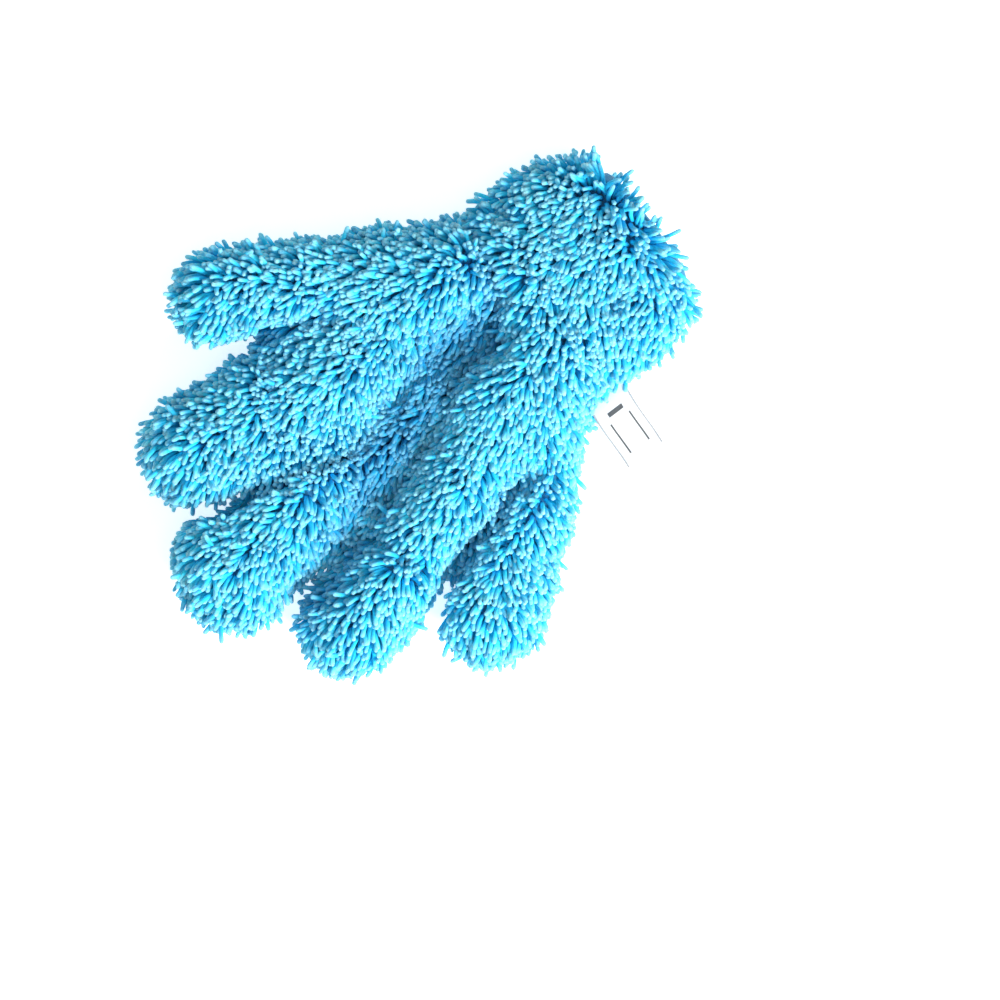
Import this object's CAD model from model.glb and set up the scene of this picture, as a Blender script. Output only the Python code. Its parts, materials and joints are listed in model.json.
"""A five-finger chenille wash glove, lying on its back with the palm up.

All lengths are in metres, in the CAD frame: +Z is up out of the palm, +Y runs
from the cuff to the fingertips and +X runs towards the thumb. The cloth is the
zero surface of one distance field, built along the finger bones that the CAD
hinges give, and the pile is thousands of separate strands that stand on it.
"""
import json
import math

import bpy
import mathutils
import mathutils.kdtree
import numpy as np
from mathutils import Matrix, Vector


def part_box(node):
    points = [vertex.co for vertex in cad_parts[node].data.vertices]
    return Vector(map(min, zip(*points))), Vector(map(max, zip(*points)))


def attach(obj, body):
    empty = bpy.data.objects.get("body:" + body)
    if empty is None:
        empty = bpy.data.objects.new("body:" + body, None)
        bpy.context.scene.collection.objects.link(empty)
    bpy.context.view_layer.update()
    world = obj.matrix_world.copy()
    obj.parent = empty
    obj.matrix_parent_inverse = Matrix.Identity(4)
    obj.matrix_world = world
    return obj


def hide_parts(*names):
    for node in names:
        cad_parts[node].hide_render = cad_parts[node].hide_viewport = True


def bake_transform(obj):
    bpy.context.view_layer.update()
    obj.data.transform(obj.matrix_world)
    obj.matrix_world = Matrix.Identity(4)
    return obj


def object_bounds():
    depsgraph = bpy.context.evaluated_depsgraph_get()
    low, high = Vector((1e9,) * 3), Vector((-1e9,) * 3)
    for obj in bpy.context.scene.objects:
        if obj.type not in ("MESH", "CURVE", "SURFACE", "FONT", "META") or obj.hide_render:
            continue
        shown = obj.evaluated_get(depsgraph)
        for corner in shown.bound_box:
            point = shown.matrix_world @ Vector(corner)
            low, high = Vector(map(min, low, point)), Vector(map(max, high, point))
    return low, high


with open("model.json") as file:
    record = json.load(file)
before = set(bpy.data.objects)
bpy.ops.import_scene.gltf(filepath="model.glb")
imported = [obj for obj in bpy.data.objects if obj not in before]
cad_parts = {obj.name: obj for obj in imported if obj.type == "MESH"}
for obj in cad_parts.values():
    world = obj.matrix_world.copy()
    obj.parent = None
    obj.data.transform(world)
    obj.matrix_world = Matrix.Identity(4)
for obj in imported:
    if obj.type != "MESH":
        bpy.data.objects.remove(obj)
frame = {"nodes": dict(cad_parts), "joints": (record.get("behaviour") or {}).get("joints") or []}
cad_low, cad_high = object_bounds()

FINGERS = ("thumb", "index", "middle", "ring", "little")
JOINTS = {j["name"]: j for j in frame["joints"]}
rng = np.random.default_rng(7)


# ------------------------------------------------------------------- measures

def unit(v):
    """Vectors scaled to length one."""
    return v / np.maximum(np.linalg.norm(v, axis=-1, keepdims=True), 1e-12)


def hinge(name):
    """Where a joint of the CAD model turns."""
    return np.array(JOINTS[name]["pos_m"], float)


def node_points(node):
    """The corner points of a CAD node's mesh."""
    mesh = frame["nodes"][node].data
    points = np.empty(len(mesh.vertices) * 3)
    mesh.vertices.foreach_get("co", points)
    return points.reshape(-1, 3)


TIP_RISE = 0.06            # how much more a fingertip rises than its root


class Finger:
    """Root hinge, knuckle and middle of the rounded tip of one finger's cloth."""

    def __init__(self, name):
        self.name = name
        self.root = hinge(name + "_root_bend")
        self.knuckle = hinge(name + "_knuckle_bend")
        self.way = unit(self.knuckle - self.root)
        axis = np.array(JOINTS[name + "_knuckle_bend"]["axis"], float)
        ahead = unit(np.array([-axis[1], axis[0], 0.0]))
        tip_way = unit(ahead + np.array([0, 0, self.way[2] + TIP_RISE]))
        shell = node_points(name + "_tip_palm_panel")
        reach = shell - self.knuckle
        along = reach @ tip_way
        aside = np.abs(reach @ axis)
        self.tip = self.knuckle + tip_way * (along.max() - aside.max())
        self.length = float(np.linalg.norm(self.knuckle - self.root))
        self.aside = unit(np.cross(self.way, [0.0, 0.0, 1.0]))


FINGER = {name: Finger(name) for name in FINGERS}
hem_low, hem_high = (np.array(v, float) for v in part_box("cuff_hem_binding"))
MOUTH = np.array([(hem_low[0] + hem_high[0]) / 2, hem_low[1], (hem_low[2] + hem_high[2]) / 2])

# The cloth's radius at each finger's root, knuckle and tip.
CLOTH_RADII = {
    "thumb": (0.0146, 0.0156, 0.0140),
    "index": (0.0176, 0.0178, 0.0162),
    "middle": (0.0174, 0.0184, 0.0178),
    "ring": (0.0168, 0.0168, 0.0162),
    "little": (0.0134, 0.0145, 0.0150),
}
# How much wider than high a finger is, and how far its middle lies to the
# thumb's side of its hinges at the root, knuckle and tip.
WIDER = {"thumb": 1.0, "index": 1.19, "middle": 1.24, "ring": 1.21, "little": 1.20}
OFF_HINGE = {
    "thumb": (-0.0040, -0.0024, -0.0004),
    "index": (-0.0010, -0.0022, -0.0012),
    "middle": (0.0006, 0.0024, 0.0016),
    "ring": (0.0002, 0.0014, 0.0012),
    "little": (0.0086, 0.0050, 0.0014),
}
# Where each bone of the palm starts, from the middle of the cuff's mouth, and
# the cloth's radius there.
PALM_BONES = {
    "thumb": ((0.019, 0.062, 0.001), 0.0175),
    "index": ((0.012, 0.068, 0.002), 0.0175),
    "middle": ((0.004, 0.070, 0.001), 0.0160),
    "ring": ((-0.019, 0.072, 0.003), 0.0176),
    "little": ((-0.0205, 0.070, 0.000), 0.0138),
}
# Soft mounds of the hand under the cloth: centre from the mouth, and radius.
MOUNDS = (
    ((0.027, 0.090, 0.002), 0.0200),
    ((-0.0215, 0.094, 0.001), 0.0170),
)
# The web between thumb and index: both ends from the mouth, and radii.
WEB = ((0.040, 0.110, 0.001), (0.054, 0.157, 0.000), 0.0150, 0.0115)
# Half the cuff's width at distances from its mouth, which is drawn in.
CUFF_AT = (0.0, 0.010, 0.026, 0.045, 0.060)
CUFF_HALF_WIDTH = (0.0290, 0.0380, 0.0450, 0.0465, 0.0450)
CUFF_ASIDE = (0.0, 0.0, 0.0012, 0.0020, 0.0020)     # of its middle, to the thumb's side
CUFF_HALF_DEPTH = 0.0190
CUFF_REACH = 0.060         # from the mouth to where the hand widens
# Hollows in the palm side: depth at both ends, width to the thumb's side and to
# the other, and a line in the plan from the mouth.
FURROWS = (
    (0.0190, 0.0125, 0.0200, 0.0150, ((0.005, 0.088), (0.003, 0.112), (-0.006, 0.136), (-0.017, 0.157),
                                      (-0.035, 0.192), (-0.042, 0.212))),
    (0.0080, 0.0080, 0.0100, 0.0080, ((-0.058, 0.108), (-0.067, 0.140), (-0.074, 0.166))),
    (0.0030, 0.0045, 0.0055, 0.0055, ((-0.002, 0.156), (0.003, 0.190), (0.011, 0.228))),
    (0.0034, 0.0034, 0.0036, 0.0036, ((0.046, 0.177), (0.023, 0.187))),
    (0.0050, 0.0050, 0.0055, 0.0055, ((-0.056, 0.173), (-0.026, 0.190))),
    (0.0035, 0.0035, 0.0060, 0.0060, ((0.055, 0.138), (0.066, 0.172))),
    (0.0045, 0.0045, 0.0055, 0.0055, ((0.048, 0.064), (0.014, 0.068))),
    (0.0035, 0.0035, 0.0045, 0.0045, ((0.034, 0.045), (0.044, 0.047))),
    (0.0040, 0.0040, 0.0050, 0.0050, ((-0.016, 0.022), (-0.020, 0.033))),
)
ELASTIC_AT = 0.058         # from the mouth to the elastic's middle
GATHERS = 26               # puckers round the elastic
GATHER_DEPTH = 0.0011
GATHER_REACH = 0.010
# How far from where they meet two parts of the cloth are rounded into one.
KNUCKLE_JOIN = 0.004
BONE_JOIN = 0.013
MOUND_JOIN = 0.016
WEB_JOIN = 0.012
FINGER_JOIN = 0.010
# Furrows start this low beside the mouth's middle, and deepen over this height.
FURROW_FOOT = -0.004
FURROW_RISE = 0.010
FURROW_TURN = 0.002        # from one side's width to the other's, across its line
FURROW_EDGE = 2.6          # how steep its sides are


# -------------------------------------------------------------- distance field

def soft_min(a, b, reach):
    """The lesser of two distances, rounded where they are nearly equal."""
    h = np.maximum(reach - np.abs(a - b), 0) / reach
    return np.minimum(a, b) - h * h * reach / 4


def capsule(p, a, b, ra, rb):
    """Distance to a rod from a to b whose radius goes from ra to rb."""
    ab = b - a
    along = np.clip((p - a) @ ab / (ab @ ab), 0, 1)
    return np.linalg.norm(p - a - along[:, None] * ab, axis=1) - (ra + (rb - ra) * along)


def cuff_distance(p):
    """The sleeve of the cuff, with the puckers that its elastic makes."""
    q = p - MOUTH
    q[:, 0] -= np.interp(q[:, 1], CUFF_AT, CUFF_ASIDE)
    half_width = np.interp(q[:, 1], CUFF_AT, CUFF_HALF_WIDTH)
    past = np.maximum(q[:, 1] - CUFF_REACH, 0)
    around = np.arctan2(q[:, 2] / CUFF_HALF_DEPTH, q[:, 0] / half_width)
    near = np.exp(-((q[:, 1] - ELASTIC_AT) / GATHER_REACH) ** 2)
    pucker = GATHER_DEPTH * near * (0.8 + np.sin(GATHERS * around))
    shares = np.stack([q[:, 0] / half_width, q[:, 2] / CUFF_HALF_DEPTH, past / CUFF_HALF_DEPTH])
    steep = np.stack([shares[0] / half_width, shares[1] / CUFF_HALF_DEPTH, shares[2] / CUFF_HALF_DEPTH])
    size = np.linalg.norm(shares, axis=0)
    slope = np.maximum(np.linalg.norm(steep, axis=0), 1e-6)
    return np.maximum(size * (size - 1) / slope, -CUFF_HALF_DEPTH) + pucker


def finger_distance(p, finger):
    """A finger: two rods that meet at its knuckle, wider than they are high."""
    f = FINGER[finger]
    root, knuckle, tip = CLOTH_RADII[finger]
    aside = (p - f.root) @ f.aside
    off = np.interp((p - f.root) @ f.way, (0, f.length, np.linalg.norm(f.tip - f.root)), OFF_HINGE[finger])
    q = p - (off + (aside - off) * (1 - 1 / WIDER[finger]))[:, None] * f.aside
    near = capsule(q, f.root, f.knuckle, root, knuckle)
    return soft_min(near, capsule(q, f.knuckle, f.tip, knuckle, tip), KNUCKLE_JOIN)


def hand_distance(p):
    """The palm and cuff: five bones, two mounds, a web and the sleeve."""
    d = cuff_distance(p)
    for finger in FINGERS:
        start, radius = PALM_BONES[finger]
        bone = capsule(p, MOUTH + np.array(start), FINGER[finger].root, radius, CLOTH_RADII[finger][0])
        d = soft_min(d, bone, BONE_JOIN)
    for centre, radius in MOUNDS:
        mound = np.linalg.norm(p - MOUTH - np.array(centre), axis=1) - radius
        d = soft_min(d, mound, MOUND_JOIN)
    web = capsule(p, MOUTH + np.array(WEB[0]), MOUTH + np.array(WEB[1]), *WEB[2:])
    return soft_min(d, web, WEB_JOIN)


def furrow_depth(p):
    """How far the palm side is drawn in along its hollows."""
    total = np.zeros(len(p))
    plan = p - MOUTH
    high = np.clip((plan[:, 2] - FURROW_FOOT) / FURROW_RISE, 0, 1)
    plan[:, 2] = 0
    for start_depth, end_depth, thumb_width, other_width, line in FURROWS:
        corners = [np.array([x, y, 0.0]) for x, y in line]
        away = np.min([capsule(plan, a, b, 0.0, 0.0) for a, b in zip(corners, corners[1:])], axis=0)
        xs, ys = zip(*line)
        right = 1 / (1 + np.exp(-(plan[:, 0] - np.interp(plan[:, 1], ys, xs)) / FURROW_TURN))
        width = other_width + (thumb_width - other_width) * right
        depth = np.interp(plan[:, 1], (ys[0], ys[-1]), (start_depth, end_depth))
        total += depth * np.exp(-(away / width) ** FURROW_EDGE)
    return total * high * high * (3 - 2 * high)


def glove_distance(p):
    """The outer cloth of the whole glove."""
    d = hand_distance(p)
    for finger in FINGERS:
        d = soft_min(d, finger_distance(p, finger), FINGER_JOIN)
    return d + furrow_depth(p)


def outward(p, field=glove_distance, step=0.0004):
    """The direction in which the distance grows fastest."""
    slope = np.empty_like(p)
    for axis in range(3):
        shift = np.zeros(3)
        shift[axis] = step
        slope[:, axis] = field(p + shift) - field(p - shift)
    return unit(slope)


# ----------------------------------------------------------------- cloth nets

def surface_net(field, low, pitch, counts):
    """Points and quads of a field's zero surface, open where it leaves the grid."""
    axes = [low[i] + pitch * np.arange(counts[i]) for i in range(3)]
    grid = np.stack(np.meshgrid(*axes, indexing="ij"), axis=-1)
    value = field(grid.reshape(-1, 3)).reshape(counts)
    inside = value < 0
    cells = tuple(n - 1 for n in counts)
    total = np.zeros(cells + (3,))
    crossings = np.zeros(cells)
    for axis in range(3):
        others = [i for i in range(3) if i != axis]
        for side in range(4):
            offset = [0, 0, 0]
            offset[others[0]] = side % 2
            offset[others[1]] = side // 2
            ahead = list(offset)
            ahead[axis] += 1
            a = tuple(slice(o, o + c) for o, c in zip(offset, cells))
            b = tuple(slice(o, o + c) for o, c in zip(ahead, cells))
            crossed = inside[a] != inside[b]
            share = np.where(crossed, value[a] / np.where(crossed, value[a] - value[b], 1), 0)
            point = grid[a] + share[..., None] * (grid[b] - grid[a])
            total += np.where(crossed[..., None], point, 0)
            crossings += crossed
    active = crossings > 0
    number = np.full(cells, -1)
    number[active] = np.arange(active.sum())
    points = total[active] / crossings[active][:, None]
    quads = []
    for axis in range(3):
        u, v = (axis + 1) % 3, (axis + 2) % 3
        low_side = [slice(1, c) for c in cells]
        low_side[axis] = slice(0, cells[axis])
        high_side = list(low_side)
        high_side[axis] = slice(1, cells[axis] + 1)
        starts = inside[tuple(low_side)]
        ends = inside[tuple(high_side)]
        corners = []
        for du, dv in ((1, 1), (0, 1), (0, 0), (1, 0)):
            part = list(low_side)
            part[u] = slice(1 - du, cells[u] - du)
            part[v] = slice(1 - dv, cells[v] - dv)
            corners.append(number[tuple(part)])
        ring = np.stack(corners, axis=-1)
        leaving = starts & ~ends
        entering = ends & ~starts
        quads.append(ring[leaving][:, ::-1])
        quads.append(ring[entering])
    quads = np.concatenate(quads)
    return points, quads[(quads >= 0).all(axis=1)]


def settled(points, field, rounds=3):
    """Points moved onto the field's zero surface."""
    for _ in range(rounds):
        points = points - field(points)[:, None] * outward(points, field)
    return points


# -------------------------------------------------------------------- regions

# Shares of the way from root hinge to knuckle between which each joint bends.
KNUCKLE_BEND = (0.65, 1.35)
# The palm cloth ends where the upward part of its normal falls to this.
FINGER_SEAM = 0.25
HAND_SEAM = 0.0


def regions(p):
    """0 on the hand, 1 to 5 on a finger's root, and 6 to 10 on its tip."""
    away = [hand_distance(p) + 1e-6]
    along = []
    for finger in FINGERS:
        f = FINGER[finger]
        s = (p - f.root) @ f.way / f.length
        away.append(np.where(s > 0, finger_distance(p, finger), 1.0))
        along.append(s)
    code = np.argmin(np.stack(away), axis=0)
    s = np.stack([np.zeros(len(p))] + along)[code, np.arange(len(p))]
    return code + np.where((code > 0) & (s > KNUCKLE_BEND[0]), len(FINGERS), 0)


def region_name(code):
    if code == 0:
        return "hand"
    part = "_root" if code <= len(FINGERS) else "_tip"
    return FINGERS[(code - 1) % len(FINGERS)] + part


def carry(piece, code):
    """Let a piece follow the body or bodies that its region belongs to."""
    if code == 0:
        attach(piece, "hand")
        return
    if code <= len(FINGERS):
        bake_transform(piece)
    else:
        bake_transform(piece)


def node_of(code, layer):
    """The CAD node that a region's layer stands for."""
    if code == 0:
        return {"palm": "palm_panel", "back": "back_panel", "lining": "hand_lining"}[layer]
    return region_name(code) + {"palm": "_palm_panel", "back": "_back_panel", "lining": "_lining"}[layer]


def on_palm_side(normals, code):
    """True where the cloth belongs to the palm panels, False for the back."""
    return normals[:, 2] > np.where(code > 0, FINGER_SEAM, HAND_SEAM)


# ----------------------------------------------------------------- mesh tools

def make_mesh(name, points, faces, smooth=True):
    """A mesh from points and equal-sided faces, given as arrays."""
    return make_mixed_mesh(name, points, faces.ravel(), np.full(len(faces), faces.shape[1]), smooth)


def make_mixed_mesh(name, points, corners, sides, smooth=True):
    """A mesh whose faces have each their own number of sides."""
    mesh = bpy.data.meshes.new(name)
    mesh.vertices.add(len(points))
    mesh.vertices.foreach_set("co", np.ascontiguousarray(points, np.float32).ravel())
    mesh.loops.add(len(corners))
    mesh.loops.foreach_set("vertex_index", corners.astype(np.int32))
    mesh.polygons.add(len(sides))
    starts = np.concatenate([[0], np.cumsum(sides)[:-1]])
    mesh.polygons.foreach_set("loop_start", starts.astype(np.int32))
    mesh.polygons.foreach_set("use_smooth", np.full(len(sides), smooth))
    mesh.update(calc_edges=True)
    mesh.validate()
    return mesh


def make_piece(name, mesh, material):
    piece = bpy.data.objects.new(name, mesh)
    bpy.context.scene.collection.objects.link(piece)
    mesh.materials.append(material)
    return piece


def part_of(points, faces, chosen):
    """The chosen faces, with only the points that they use."""
    faces = faces[chosen]
    used, numbers = np.unique(faces, return_inverse=True)
    return points[used], numbers.reshape(faces.shape), used


def shell_mesh(name, points, inner, quads):
    """A closed shell: the quads, the same quads on the inner points, and a rim between."""
    count = len(points)
    edges = np.concatenate([quads[:, [i, (i + 1) % 4]] for i in range(4)])
    keys = edges[:, 0] * count + edges[:, 1]
    twins = edges[:, 1] * count + edges[:, 0]
    rim = edges[~np.isin(keys, twins)]
    walls = np.stack([rim[:, 1], rim[:, 0], rim[:, 0] + count, rim[:, 1] + count], axis=1)
    shell = np.concatenate([quads, quads[:, ::-1] + count, walls])
    return make_mesh(name, np.concatenate([points, inner]), shell)


# ------------------------------------------------------------------ materials

def new_material(name, **settings):
    """A material with a Principled shader; settings are its sockets' values."""
    material = bpy.data.materials.new(name)
    material.use_nodes = True
    nodes = material.node_tree.nodes
    shader = nodes["Principled BSDF"]
    for socket, value in settings.items():
        shader.inputs[socket.replace("_", " ")].default_value = value
    return material, nodes, material.node_tree.links, shader


def attribute(nodes, name):
    node = nodes.new("ShaderNodeAttribute")
    node.attribute_name = name
    return node.outputs["Fac"]


def noise(nodes, links, scale, detail):
    where = nodes.new("ShaderNodeTexCoord")
    node = nodes.new("ShaderNodeTexNoise")
    node.inputs["Scale"].default_value = scale
    node.inputs["Detail"].default_value = detail
    links.new(where.outputs["Object"], node.inputs["Vector"])
    return node.outputs["Fac"]


def ramp(nodes, links, value, stops):
    node = nodes.new("ShaderNodeValToRGB")
    elements = node.color_ramp.elements
    while len(elements) < len(stops):
        elements.new(0.5)
    for element, (position, colour) in zip(elements, stops):
        element.position = position
        element.color = (*colour, 1)
    links.new(value, node.inputs["Fac"])
    return node.outputs["Color"]


def multiplied(nodes, links, first, second):
    """The product of two colours."""
    node = nodes.new("ShaderNodeMix")
    node.data_type = "RGBA"
    node.blend_type = "MULTIPLY"
    factor, a, b = ([s for s in node.inputs if s.name == name and s.enabled][0]
                    for name in ("Factor", "A", "B"))
    factor.default_value = 1.0
    links.new(first, a)
    links.new(second, b)
    return [s for s in node.outputs if s.enabled][0]


def bumped(nodes, links, shader, height, distance, strength):
    node = nodes.new("ShaderNodeBump")
    node.inputs["Strength"].default_value = strength
    node.inputs["Distance"].default_value = distance
    links.new(height, node.inputs["Height"])
    links.new(node.outputs["Normal"], shader.inputs["Normal"])


def chenille_material():
    """Velvety strands: deep blue at the root, pale cyan at the tip."""
    material, nodes, links, shader = new_material(
        "chenille", Roughness=0.70, Sheen_Weight=0.10, Sheen_Roughness=0.45,
        Specular_IOR_Level=0.25, Sheen_Tint=(0.70, 0.92, 1.0, 1),
        Subsurface_Weight=0.50, Subsurface_Scale=0.0016, Subsurface_Radius=(0.6, 1.0, 1.0))
    along = ramp(nodes, links, attribute(nodes, "along"), (
        (0.00, (0.001, 0.600, 0.990)),
        (0.40, (0.002, 0.600, 0.985)),
        (0.75, (0.035, 0.610, 0.930)),
        (1.00, (0.270, 0.660, 0.830)),
    ))
    own = ramp(nodes, links, attribute(nodes, "shade"), (
        (0.0, (0.24, 0.44, 0.58)),
        (0.3, (0.78, 0.84, 0.88)),
        (0.7, (1.00, 1.00, 1.00)),
        (1.0, (1.30, 1.16, 1.08)),
    ))
    colour = multiplied(nodes, links, along, own)
    flecks = ramp(nodes, links, noise(nodes, links, 1400, 3), (
        (0.30, (0.82, 0.88, 0.92)),
        (0.70, (1.14, 1.08, 1.05)),
    ))
    links.new(multiplied(nodes, links, colour, flecks), shader.inputs["Base Color"])
    bumped(nodes, links, shader, noise(nodes, links, 3200, 2), 0.0004, 0.7)
    return material


def cloth_material(name, deep, pale, scale=900):
    """Plain knitted cloth: two tones in a fine weave."""
    material, nodes, links, shader = new_material(name, Roughness=0.85, Sheen_Weight=0.2)
    where = nodes.new("ShaderNodeTexCoord")
    weave = nodes.new("ShaderNodeTexWave")
    weave.inputs["Scale"].default_value = scale
    weave.inputs["Distortion"].default_value = 1.5
    links.new(where.outputs["Object"], weave.inputs["Vector"])
    links.new(ramp(nodes, links, weave.outputs["Fac"], ((0.2, deep), (0.8, pale))),
              shader.inputs["Base Color"])
    bumped(nodes, links, shader, weave.outputs["Fac"], 0.0003, 0.6)
    return material


# ---------------------------------------------------------------------- cloth

CLOTH_PITCH = 0.0026       # between the points of the outer cloth's net
CLOTH_THICKNESS = 0.0010
LINING_PITCH = 0.0034
LINING_DEPTH = 0.0028      # from the outer cloth's face to the lining's
LINING_THICKNESS = 0.0008


def lining_distance(p):
    """The lining, which follows the outer cloth inside it."""
    return glove_distance(p) + LINING_DEPTH


def glove_net(field, pitch):
    """The net of a field from the cuff's mouth to the fingertips."""
    low = np.array([cad_low[0] - pitch, MOUTH[1] - pitch / 2, -2 * pitch])
    high = np.array([cad_high[0] + pitch, cad_high[1] + pitch, cad_high[2] + pitch])
    counts = tuple(int(math.ceil(n)) + 1 for n in (high - low) / pitch)
    points, quads = surface_net(field, low, pitch, counts)
    return settled(points, field), quads


def build_cloth(field, pitch, thickness, layers, material, kind):
    """Shells of cloth, one for each body and layer, that stand for CAD nodes."""
    points, quads = glove_net(field, pitch)
    normals = outward(points, field)
    middles = points[quads].mean(axis=1)
    code = regions(middles)
    palm = on_palm_side(outward(middles, field), code)
    for number in range(2 * len(FINGERS) + 1):
        for layer, side in layers:
            chosen = (code == number) & (palm == side if side is not None else True)
            spots, faces, used = part_of(points, quads, chosen)
            name = region_name(number) + (f"_{layer}_" if side is not None else "_") + kind
            inner = spots - normals[used] * thickness
            piece = make_piece(name, shell_mesh(name, spots, inner, faces), material)
            carry(piece, number)
            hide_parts(node_of(number, layer))
            declare_cut(piece)


def declare_cut(piece):
    """Say how large a panel was cut: its length and width, and its flat area."""
    mesh = piece.data
    count = len(mesh.vertices)
    spots = np.empty(count * 3)
    mesh.vertices.foreach_get("co", spots)
    spots = spots.reshape(-1, 3)


# ----------------------------------------------------------------------- pile

STRAND_RADIUS = 0.00112
STRAND_SPACING = 0.00162               # least distance between two strands' roots
STRAND_LENGTH = (0.0094, 0.0136)       # shortest and longest in the open
STRAND_SIDES = 5
STRAND_STEPS = (0.0, 0.30, 0.56, 0.78, 0.925, 0.965, 0.99)     # shares of its length
STRAND_TAPER = (0.9, 1.0, 1.0, 1.0, 1.0, 0.84, 0.46)           # of its radius, at the steps
SWEEP = np.array([-0.8, 0.6, 0.0])     # the side to which the whole pile is brushed
PARTING = 0.0085                       # from the mouth to the line where the pile parts
OPEN_REACH = 0.009                     # how far over a root free space is looked for
STRAYS = 0.05                          # share of strands that lie their own way
STRAY_SPREAD = 0.7                     # how far their lean scatters,
SPREAD = 0.24                          # and that of the others
LOCKS = (0.030, 11)                    # wavelength and seed of the pile's large waves,
LOCKS_LEAN = 0.20                      # how far they lean it,
TUFTS = (0.009, 12)                    # and the same for the small ones
TUFTS_LEAN = 0.16
AWAY = (0.6, 0.4)                      # shares of the open direction and the cloth's own
UPRIGHT = 0.09                         # share of strands that stand out of the pile
LEAN_ASIDE = 0.50                      # how much a strand leans the way that its cloth faces,
LEAN_AHEAD = 0.78                      # towards the fingertip
LEAN_SWEPT = 0.46                      # and to the side of the sweep
RISE = 0.30                            # how much it stands up in the open,
RISE_CLOSED = 0.87                     # how much more where others crowd it
RISE_UPRIGHT = 0.9                     # and how much more if it is an upright one
LONGER_STRAY = 0.16                    # how much longer a stray is,
LONGER_MOUTH = 0.34                    # one below the parting
LONGER_TIP = 0.20                      # and one on a fingertip
CLOSED_LENGTH = 0.72                   # share of its length that one always has,
OPEN_LENGTH = 0.28                     # and the share that it has in the open only
ROOT_SPREAD = 0.16                     # how far its first half scatters
FIRST_HALF = 0.42                      # of its length, to where it turns,
SECOND_HALF = 0.60                     # and from there to its end
OWN_RADIUS = (0.88, 1.08)              # least and most of one strand,
OWN_LUMPS = (0.93, 1.07)               # and at each of its steps
STRAND_WAVE = 0.0008
ROOT_DEPTH = 0.0006                    # how deep in the cloth a strand starts
DEEP_HOLLOW = 0.0110                   # a hollow this deep has the pile's deepest blue,
HOLLOW_SHADE = 0.85                    # and this much of a strand's own tone is gone there
OWN_SHADE = (0.3, 0.7)                 # the deepest tone of its own, and the span to the palest
TRIES = 7                              # random points for each cell of the spacing
CUFF_PILE = 0.055                      # farther from the mouth the pile follows the bones,
CUFF_PILE_FADE = 0.03                  # and nearer by this it runs straight
PARTING_TURN = 0.013                   # from the parting to where it lies fully over
MOUTH_TURN = (1.4, 1.1)                # how far over below it, and how much less at the corners


def scatter(points, quads, spacing):
    """Random points on a net, none of them nearer to another than the spacing."""
    corners = points[quads]
    diagonals = corners[:, 2] - corners[:, 0], corners[:, 3] - corners[:, 1]
    area = np.linalg.norm(np.cross(*diagonals), axis=1) / 2
    count = int(area.sum() / spacing ** 2 * TRIES)
    face = rng.choice(len(quads), count, p=area / area.sum())
    u, v = rng.random((2, count, 1))
    a, b, c, d = (corners[face, i] for i in range(4))
    spots = (a * (1 - u) + b * u) * (1 - v) + (d * (1 - u) + c * u) * v
    tree = mathutils.kdtree.KDTree(count)
    for i, spot in enumerate(spots.tolist()):
        tree.insert(spot, i)
    tree.balance()
    free = np.ones(count, bool)
    kept = []
    for i, spot in enumerate(spots.tolist()):
        if free[i]:
            kept.append(i)
            for _, near, _ in tree.find_range(spot, spacing):
                free[near] = False
    return spots[kept]


def drift(p, wavelength, seed):
    """Smooth random vectors that change over about a wavelength."""
    own = np.random.default_rng(seed)
    total = np.zeros_like(p)
    for _ in range(6):
        wave = unit(own.normal(size=3)) * 2 * math.pi / wavelength * own.uniform(0.6, 1.4)
        total += np.sin(p @ wave + own.uniform(0, 2 * math.pi))[:, None] * own.normal(size=3)
    return total / 2.4


def ahead_direction(p):
    """Towards the fingertips, along the nearest bones; towards the arm below the parting."""
    total = np.zeros_like(p)
    for finger in FINGERS:
        f = FINGER[finger]
        start = MOUTH + np.array(PALM_BONES[finger][0])
        for a, b in ((start, f.root), (f.root, f.knuckle), (f.knuckle, f.tip)):
            near = np.maximum(capsule(p, a, b, 0.0, 0.0), 0.001)
            total += (near ** -3)[:, None] * unit(b - a)
    way = unit(total)
    past = p[:, 1] - MOUTH[1]
    cuff = np.clip((CUFF_PILE - past) / CUFF_PILE_FADE, 0, 1)[:, None]
    way = unit(way * (1 - cuff) + np.array([0.0, 1.0, 0.0]) * cuff)
    turn = np.clip((past - PARTING) / PARTING_TURN, -1, 1)
    corner = np.clip(np.abs(p[:, 0] - MOUTH[0]) / CUFF_HALF_WIDTH[0], 0, 1)
    turn = np.where(turn < 0, turn * (MOUTH_TURN[0] - MOUTH_TURN[1] * corner ** 2), turn)
    return way * turn[:, None]


TIP_END = 0.010            # beyond the tip's middle, to where the pile is longest
TIP_REACH = 0.025          # no point of a fingertip is farther from its middle


def tip_share(p):
    """From 0 to 1 over the end of each finger, where the pile is longest."""
    total = np.zeros((len(p), 1))
    for f in FINGER.values():
        beyond = np.clip((p - f.tip) @ f.way / TIP_END, 0, 1)
        near = np.linalg.norm(p - f.tip, axis=1) < TIP_REACH
        total[:, 0] = np.maximum(total[:, 0], beyond * near)
    return total


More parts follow.
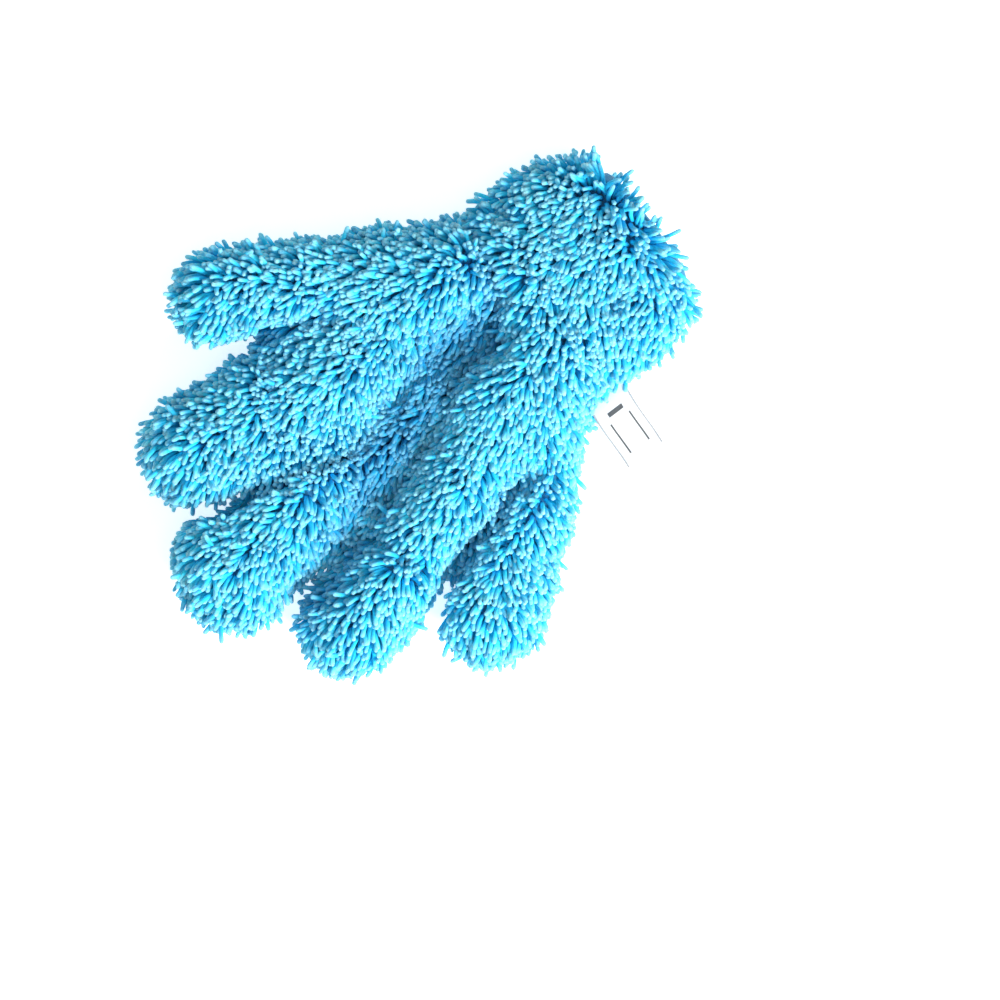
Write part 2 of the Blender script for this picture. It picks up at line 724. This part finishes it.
def strand_paths(roots, normals):
    """Start, middle and end of each strand's curve."""
    count = len(roots)
    over = roots + normals * OPEN_REACH
    openness = np.clip(glove_distance(over) / OPEN_REACH, 0, 1)[:, None]
    away = unit(outward(over) * AWAY[0] + normals * AWAY[1])
    side = normals * np.array([1, 1, 0])
    lean = side * LEAN_ASIDE + ahead_direction(roots) * LEAN_AHEAD + SWEEP * LEAN_SWEPT
    stray = rng.random((count, 1)) < STRAYS
    lean += drift(roots, *LOCKS) * LOCKS_LEAN + drift(roots, *TUFTS) * TUFTS_LEAN
    lean += rng.normal(size=(count, 3)) * np.where(stray, STRAY_SPREAD, SPREAD)
    lean -= normals * (lean * normals).sum(axis=1, keepdims=True)
    upright = rng.random((count, 1)) < UPRIGHT
    rise = RISE + RISE_CLOSED * (1 - openness) + RISE_UPRIGHT * upright
    end_way = unit(away * rise + lean * openness ** 1.5)
    length = rng.uniform(*STRAND_LENGTH, count)[:, None] * (CLOSED_LENGTH + OPEN_LENGTH * openness)
    length *= 1 + LONGER_STRAY * stray + LONGER_MOUTH * (roots[:, 1:2] < MOUTH[1] + PARTING)
    length *= 1 + LONGER_TIP * tip_share(roots)
    start = roots - normals * ROOT_DEPTH
    bend = roots + unit(away + rng.normal(size=(count, 3)) * ROOT_SPREAD) * length * FIRST_HALF
    end = bend + end_way * length * SECOND_HALF
    return start, bend, end


def press(z, floor):
    """Heights kept above the floor, flattening smoothly as they near it."""
    spread = 0.0016
    return floor + spread * np.logaddexp(0, (z - floor) / spread)


def strand_mesh(name, roots, normals, shade):
    """Thousands of strands as one mesh, each a curved rod with a rounded tip."""
    start, bend, end = strand_paths(roots, normals)
    count = len(roots)
    sides = STRAND_SIDES
    rings = len(STRAND_STEPS)
    t = np.append(STRAND_STEPS, 1.0)[None, :, None]
    line = start[:, None] * (1 - t) ** 2 + bend[:, None] * 2 * t * (1 - t) + end[:, None] * t ** 2
    across = np.cross(bend - start, end - bend) + rng.normal(size=(count, 3)) * 1e-7
    across = unit(across)
    wave = rng.normal(0, STRAND_WAVE, (count, 1, 1)) * np.sin(t * math.pi * 1.3) * t
    line = line + across[:, None] * wave
    line[..., 2] = press(line[..., 2], STRAND_RADIUS * 1.1)
    tangent = unit(np.gradient(line, axis=1))
    u = unit(across[:, None] - tangent * (across[:, None] * tangent).sum(axis=2, keepdims=True))
    v = np.cross(tangent, u)
    radius = STRAND_RADIUS * rng.uniform(*OWN_RADIUS, (count, 1)) * np.array(STRAND_TAPER)
    radius = radius * rng.uniform(*OWN_LUMPS, (count, rings))
    turn = np.arange(sides) * 2 * math.pi / sides
    ring = u[:, :rings, None] * np.cos(turn)[:, None] + v[:, :rings, None] * np.sin(turn)[:, None]
    tube = line[:, :rings, None] + ring * radius[:, :, None, None]
    points = np.concatenate([tube.reshape(count, -1, 3), line[:, -1:]], axis=1)
    each = sides * rings + 1
    walls = []
    corner_map = []
    for k in range(rings - 1):
        for s in range(sides):
            n = (s + 1) % sides
            walls.append((k * sides + s, k * sides + n, (k + 1) * sides + n, (k + 1) * sides + s))
            corner_map += [(s, k), (s + 1, k), (s + 1, k + 1), (s, k + 1)]
    last = (rings - 1) * sides
    caps = []
    for s in range(sides):
        caps.append((last + s, last + (s + 1) % sides, each - 1))
        corner_map += [(s, rings - 1), (s + 1, rings - 1), (s + 0.5, rings)]
    foot = tuple(range(sides - 1, -1, -1))
    corner_map += [(s + 0.5, 0) for s in foot]
    one = np.concatenate([np.ravel(walls), np.ravel(caps), foot])
    sizes = np.array([4] * len(walls) + [3] * len(caps) + [sides])
    corners = (one[None] + each * np.arange(count)[:, None]).ravel()
    mesh = make_mixed_mesh(name, points.reshape(-1, 3), corners, np.tile(sizes, count))
    along = np.concatenate([np.repeat(STRAND_STEPS, sides), [1.0]])
    set_point_values(mesh, "along", np.tile(along, count))
    set_point_values(mesh, "shade", np.repeat(shade, each))
    set_strand_cells(mesh, count, np.array(corner_map), sides, rings)
    return mesh


def set_point_values(mesh, name, values):
    layer = mesh.attributes.new(name, "FLOAT", "POINT")
    layer.data.foreach_set("value", values.astype(np.float32))


def set_strand_cells(mesh, count, corner_map, sides, rings):
    """A small cell of the texture for each strand, for when the finish is baked."""
    columns = int(math.ceil(math.sqrt(count)))
    cell = np.arange(count)
    low = np.stack([cell % columns, cell // columns], axis=1)[:, None] / columns
    inner = 0.12 + 0.76 * corner_map / np.array([sides, rings])
    uv = low + inner[None] / columns
    layer = mesh.uv_layers.new(name="OFBake")
    layer.data.foreach_set("uv", uv.astype(np.float32).ravel())


MOST_STRANDS = 2900        # in one piece
BARE_EDGE = 0.0006         # from the mouth to the first strands
MOUTH_BOW = 0.0050         # how far the pile's edge draws back at the mouth's corners


def build_pile(points, quads, material):
    """The pile of every panel, in pieces that ride with the panels' bodies."""
    roots = settled(scatter(points, quads, STRAND_SPACING), glove_distance, 1)
    corner = np.abs(roots[:, 0] - MOUTH[0]) / CUFF_HALF_WIDTH[0]
    roots = roots[roots[:, 1] > MOUTH[1] + BARE_EDGE + MOUTH_BOW * corner ** 2]
    normals = outward(roots)
    code = regions(roots)
    palm = on_palm_side(normals, code)
    sunk = np.clip(furrow_depth(roots) / DEEP_HOLLOW, 0, 1)
    shade = (OWN_SHADE[0] + OWN_SHADE[1] * rng.random(len(roots))) * (1 - HOLLOW_SHADE * sunk)
    for number in range(2 * len(FINGERS) + 1):
        for layer, side in (("palm", True), ("back", False)):
            chosen = np.flatnonzero((code == number) & (palm == side))
            chosen = chosen[np.argsort(roots[chosen, 1], kind="stable")]
            parts = int(math.ceil(len(chosen) / MOST_STRANDS))
            for i, rows in enumerate(np.array_split(chosen, parts)):
                name = f"{region_name(number)}_{layer}_pile" + (f"_{i + 1}" if parts > 1 else "")
                mesh = strand_mesh(name, roots[rows], normals[rows], shade[rows])
                piece = make_piece(name, mesh, material)
                carry(piece, number)
                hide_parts(node_of(number, layer))


# ---------------------------------------------------------------- cuff trims

HEM_TAPE = 0.0052          # from the mouth's edge to the tape's edges
WALL = LINING_DEPTH + LINING_THICKNESS     # of the cuff: cloth, lining and the gap
TAPE_SEAM = 0.0034         # from the mouth's edge to the tape's stitches
STITCHES_AROUND = 64
ELASTIC_WIDTH = 0.012
ELASTIC_RIBS = 6
AROUND = 168               # points round the tape and the elastic band
STITCH = (0.0011, 0.00026)     # half length and radius


def cuff_point(angle, past, out):
    """A point of the cuff's wall: angle round it, way from the mouth, distance out."""
    half_width = np.interp(past, CUFF_AT, CUFF_HALF_WIDTH)
    aside = np.interp(past, CUFF_AT, CUFF_ASIDE)
    across = np.cos(angle)
    up = np.sin(angle)
    way = unit(np.stack([across / half_width, 0 * angle, up / CUFF_HALF_DEPTH], -1))
    flat = np.stack([aside + across * half_width, past + 0 * angle, up * CUFF_HALF_DEPTH], -1)
    return MOUTH + flat + way * np.expand_dims(out, -1)


def ring_mesh(name, past, out):
    """A closed band round the cuff from a closed profile of (past, out) points."""
    angle = np.arange(AROUND) * 2 * math.pi / AROUND
    a = angle[:, None] + 0 * past[None]
    wave = 0.00012 * np.sin(GATHERS * a) + 0.00012 * np.sin(7 * a + 1.0)
    points = cuff_point(a, past[None] + 0 * a, out[None] + wave)
    rows, columns = points.shape[:2]
    i, k = np.meshgrid(np.arange(rows), np.arange(columns), indexing="ij")
    ni = (i + 1) % rows
    nk = (k + 1) % columns
    faces = np.stack([i * columns + k, i * columns + nk, ni * columns + nk, ni * columns + k], -1)
    return make_mesh(name, points.reshape(-1, 3), faces.reshape(-1, 4))


def stitch_mesh(name, middles, ways, across):
    """Short rounded stitches, each a little rod that dips at its ends."""
    half, radius = STITCH
    steps = np.array([-1.0, -0.8, -0.3, 0.3, 0.8, 1.0])
    swell = np.array([0.35, 0.85, 1.0, 1.0, 0.85, 0.35]) * radius
    turn = np.arange(6) * math.pi / 3
    up = np.cross(ways, across)
    dip = up[:, None] * (steps ** 4 * radius)[:, None]
    line = middles[:, None] + ways[:, None] * (steps * half)[:, None] - dip
    ring = across[:, None, None] * np.cos(turn)[:, None] + up[:, None, None] * np.sin(turn)[:, None]
    points = line[:, :, None] + ring * swell[:, None, None]
    count = len(middles)
    each = len(steps) * 6
    faces = []
    for k in range(len(steps) - 1):
        for n in range(6):
            m = (n + 1) % 6
            faces.append((k * 6 + n, k * 6 + m, (k + 1) * 6 + m, (k + 1) * 6 + n))
    ends = [(0, 5, 4, 3), (0, 3, 2, 1)]
    last = each - 6
    ends += [(last, last + 1, last + 2, last + 3), (last, last + 3, last + 4, last + 5)]
    faces = np.array(faces + ends)
    every = (faces[None] + each * np.arange(count)[:, None, None]).reshape(-1, 4)
    return make_mesh(name, points.reshape(-1, 3), every)


def build_cuff_trims():
    """Hem tape with its stitches, and the elastic band on the lining."""
    tape = cloth_material("hem_tape", (0.012, 0.20, 0.40), (0.030, 0.33, 0.58), 1100)
    thread = cloth_material("thread", (0.30, 0.62, 0.78), (0.42, 0.72, 0.86), 2600)
    band = cloth_material("elastic", (0.62, 0.64, 0.66), (0.80, 0.81, 0.82), 1500)
    within = -WALL - 0.0006
    # The tape's profile: points past the mouth's edge and out of the cuff's wall.
    outer = np.array([(HEM_TAPE, 0.0005), (0.0012, 0.0009), (-0.0012, 0.0007), (-0.0024, within / 2),
                      (-0.0012, within - 0.0005), (0.0012, within - 0.0008), (HEM_TAPE, within - 0.0004)])
    inner = np.array([(HEM_TAPE, -WALL), (0.0012, -WALL), (0.0004, -WALL / 2),
                      (0.0012, 0.0), (HEM_TAPE, 0.0)])
    profile = np.concatenate([outer, inner])
    hem = make_piece("cuff_hem_tape", ring_mesh("cuff_hem_tape", profile[:, 0], profile[:, 1]), tape)
    angle = np.arange(STITCHES_AROUND) * 2 * math.pi / STITCHES_AROUND + 0.02
    rows = []
    for out in (within - 0.0005, 0.0008):
        middles = cuff_point(angle, TAPE_SEAM + 0 * angle, out + 0 * angle)
        ahead = cuff_point(angle + 0.01, TAPE_SEAM + 0 * angle, out + 0 * angle)
        ways = unit(ahead - middles)
        across = np.tile([0.0, 1.0, 0.0], (len(angle), 1))
        across = across if out > 0 else -across
        rows.append((middles, ways, across))
    stitches = make_piece("cuff_hem_stitches", stitch_mesh(
        "cuff_hem_stitches", *(np.concatenate(part) for part in zip(*rows))), thread)
    half = ELASTIC_WIDTH / 2
    steps = np.linspace(-half, half, ELASTIC_RIBS * 6 + 1)
    ribs = 0.0005 * np.abs(np.sin((steps + half) / ELASTIC_WIDTH * math.pi * ELASTIC_RIBS))
    past = ELASTIC_AT + np.concatenate([steps, steps[::-1][::6]])
    out = np.concatenate([-WALL - 0.0008 - ribs, np.full(ELASTIC_RIBS + 1, -WALL - 0.0001)])
    elastic = make_piece("cuff_elastic_band", ring_mesh("cuff_elastic_band", past, out), band)
    for piece, slot, node in ((hem, "hem", "cuff_hem_binding"), (stitches, "hem", "cuff_hem_binding"),
                              (elastic, "elastic", "cuff_elastic")):
        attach(piece, "hand")
        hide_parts(node)


# ---------------------------------------------------------------------- label

label_low, label_high = (np.array(v, float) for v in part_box("side_label"))
tab_low, tab_high = (np.array(v, float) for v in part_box("label_tab"))
LABEL_PIVOT = hinge("label_flap")
LABEL_THICKNESS = 0.00035
LABEL_DROOP = 0.0045       # of its free end
LABEL_WAVE = 0.0011        # height of its curl
LABEL_SLIDE = 0.0030       # of its free end along the seam
LABEL_TWIST = 0.0030       # from edge to edge of its free end
LABEL_SHORTER = 0.012      # share of its reach that the droop and curl take up
SELVAGES = ((0.0, 0.02, 0.04), (0.96, 0.98, 1.0))      # shares of the way across
# Printed rules: start and stop from the hinge, and shares of the way across.
RULES = (
    (0.0150, 0.0310, 0.22, 0.26),
    (0.0150, 0.0310, 0.74, 0.78),
    (0.0100, 0.0122, 0.30, 0.70),
)
LABEL_STITCHES = 15


def label_point(reach, across, out):
    """A point of the ribbon: reach from its hinge away from the glove, and across it."""
    far = np.maximum(reach, 0) / (label_high[0] - label_low[0])
    width = label_high[1] - label_low[1]
    x = tab_low[0] - reach * (1 - LABEL_SHORTER * far)
    y = label_low[1] + across * width + LABEL_SLIDE * far + 0.0006 * np.sin(far * 5)
    twist = (across - 0.5) * LABEL_TWIST * far
    z = LABEL_PIVOT[2] - LABEL_DROOP * far ** 2 + LABEL_WAVE * np.sin(far * 6.5) + twist
    return np.stack([x, y, z + out], -1)


def ribbon_mesh(name, reaches, acrosses, low, high):
    """A thin closed slab between two heights over the ribbon's middle."""
    r, a = np.meshgrid(reaches, acrosses, indexing="ij")
    rows, columns = r.shape
    top = label_point(r, a, high).reshape(-1, 3)
    bottom = label_point(r, a, low).reshape(-1, 3)
    i, k = np.meshgrid(np.arange(rows - 1), np.arange(columns - 1), indexing="ij")
    n = (i * columns + k).ravel()
    return shell_mesh(name, top, bottom, np.stack([n, n + 1, n + columns + 1, n + columns], -1))


def build_label():
    """A white woven ribbon sewn in the side seam, with plain printed rules."""
    satin, nodes, links, shader = new_material(
        "satin", Roughness=0.38, Sheen_Weight=0.25, Specular_IOR_Level=0.5)
    where = nodes.new("ShaderNodeTexCoord")
    weave = nodes.new("ShaderNodeTexWave")
    weave.bands_direction = "Y"
    weave.inputs["Scale"].default_value = 1600
    links.new(where.outputs["Object"], weave.inputs["Vector"])
    tones = ((0.2, (0.58, 0.60, 0.62)), (0.8, (0.70, 0.72, 0.74)))
    links.new(ramp(nodes, links, weave.outputs["Fac"], tones), shader.inputs["Base Color"])
    bumped(nodes, links, shader, weave.outputs["Fac"], 0.0001, 0.5)
    edging = cloth_material("label_edge", (0.36, 0.38, 0.40), (0.48, 0.50, 0.52), 1600)
    ink = cloth_material("ink", (0.07, 0.075, 0.08), (0.11, 0.115, 0.12), 1600)
    thread = bpy.data.materials["thread"]
    reach = label_high[0] - label_low[0]
    half = LABEL_THICKNESS / 2
    across = np.linspace(0, 1, 17)
    label = make_piece("label_ribbon", ribbon_mesh(
        "label_ribbon", np.linspace(0, reach, 49), across, -half, half), satin)
    selvage = []
    for n, edge in enumerate(SELVAGES):
        name = f"label_selvage_{n + 1}"
        mesh = ribbon_mesh(name, np.linspace(0.0002, reach - 0.0002, 49), np.array(edge),
                           -half * 1.7, half * 1.7)
        selvage.append(make_piece(name, mesh, edging))
    rules = []
    for n, (start, stop, low, high) in enumerate(RULES):
        name = f"label_rule_{n + 1}"
        mesh = ribbon_mesh(name, np.linspace(start, stop, 25), np.linspace(low, high, 5),
                           half * 0.2, half + 0.00005)
        rules.append(make_piece(name, mesh, ink))
    for piece in [label] + selvage + rules:
        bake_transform(piece)
        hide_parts("side_label")
    tab = make_piece("label_sewn_end", ribbon_mesh(
        "label_sewn_end", np.linspace(-(tab_high[0] - tab_low[0]), 0, 9), across, -half, half), satin)
    count = LABEL_STITCHES
    middle = label_point(np.full(count, -0.0012), np.linspace(0.04, 0.96, count), half + 0.0001)
    ways = np.tile([0.0, 1.0, 0.0], (count, 1))
    sides = np.tile([1.0, 0.0, 0.0], (count, 1))
    tack = make_piece("label_stitches", stitch_mesh("label_stitches", middle, ways, sides), thread)
    for piece in (tab, tack):
        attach(piece, "hand")
        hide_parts("label_tab")


chenille = chenille_material()
backing = cloth_material("backing", (0.010, 0.16, 0.33), (0.020, 0.24, 0.45))
lining_cloth = cloth_material("lining", (0.10, 0.34, 0.50), (0.18, 0.44, 0.60), 700)

build_cloth(glove_distance, CLOTH_PITCH, CLOTH_THICKNESS,
            (("palm", True), ("back", False)), backing, "cloth")
build_cloth(lining_distance, LINING_PITCH, LINING_THICKNESS,
            (("lining", None),), lining_cloth, "lining_cloth")
build_pile(*glove_net(glove_distance, CLOTH_PITCH), chenille)
build_cuff_trims()
build_label()


# --------------------------------------------------------------- stage and view

AIM = np.array([-0.0554, -0.0037, 0.030])      # the camera looks straight down at this point
EYE_HEIGHT = 1.30                              # over it
LENS = 104.0                                   # mm
VIEW_TURN = -127.0                             # degrees, about the vertical
LIT_POINT = (0, 0, 0.02)
FLOOR_HALF = 3.0                               # half its side
FLOOR_DROP = 0.0004                            # under the glove


def build_floor():
    material, *_ = new_material(
        "floor", Base_Color=(0.93, 0.935, 0.94, 1), Roughness=0.9, Specular_IOR_Level=0.1,
        Emission_Color=(1, 1, 1, 1), Emission_Strength=0.60)
    signs = np.array([[-1, -1], [1, -1], [1, 1], [-1, 1]], float)
    corners = np.column_stack([signs * FLOOR_HALF, np.full(4, -FLOOR_DROP)])
    floor = make_piece("floor", make_mesh("floor", corners, np.array([[0, 1, 2, 3]]), False), material)


def add_area(name, place, size, power):
    """A round lamp that shines on LIT_POINT."""
    light = bpy.data.lights.new(name, "AREA")
    light.shape = "DISK"
    light.size = size
    light.energy = power
    lamp = bpy.data.objects.new(name, light)
    lamp.location = place
    way = mathutils.Vector(LIT_POINT) - mathutils.Vector(place)
    lamp.rotation_euler = way.to_track_quat("-Z", "Y").to_euler()
    bpy.context.scene.collection.objects.link(lamp)


def build_studio():
    build_floor()
    world = bpy.data.worlds.new("studio")
    world.use_nodes = True
    world.node_tree.nodes["Background"].inputs["Color"].default_value = (0.96, 0.98, 1.0, 1)
    world.node_tree.nodes["Background"].inputs["Strength"].default_value = 0.50
    bpy.context.scene.world = world
    add_area("key", (-1.06, -0.12, 0.98), size=0.60, power=36.0)
    add_area("top", (-0.30, -0.05, 1.70), size=0.50, power=2.5)
    bpy.context.scene.view_settings.view_transform = "Standard"
    camera = bpy.data.objects.new("camera", bpy.data.cameras.new("camera"))
    camera.data.lens = LENS
    camera.data.sensor_width = 36.0
    camera.data.clip_end = 20.0
    camera.location = (AIM[0], AIM[1], AIM[2] + EYE_HEIGHT)
    camera.rotation_euler = (0, 0, math.radians(VIEW_TURN))
    bpy.context.scene.collection.objects.link(camera)
    bpy.context.scene.camera = camera


build_studio()
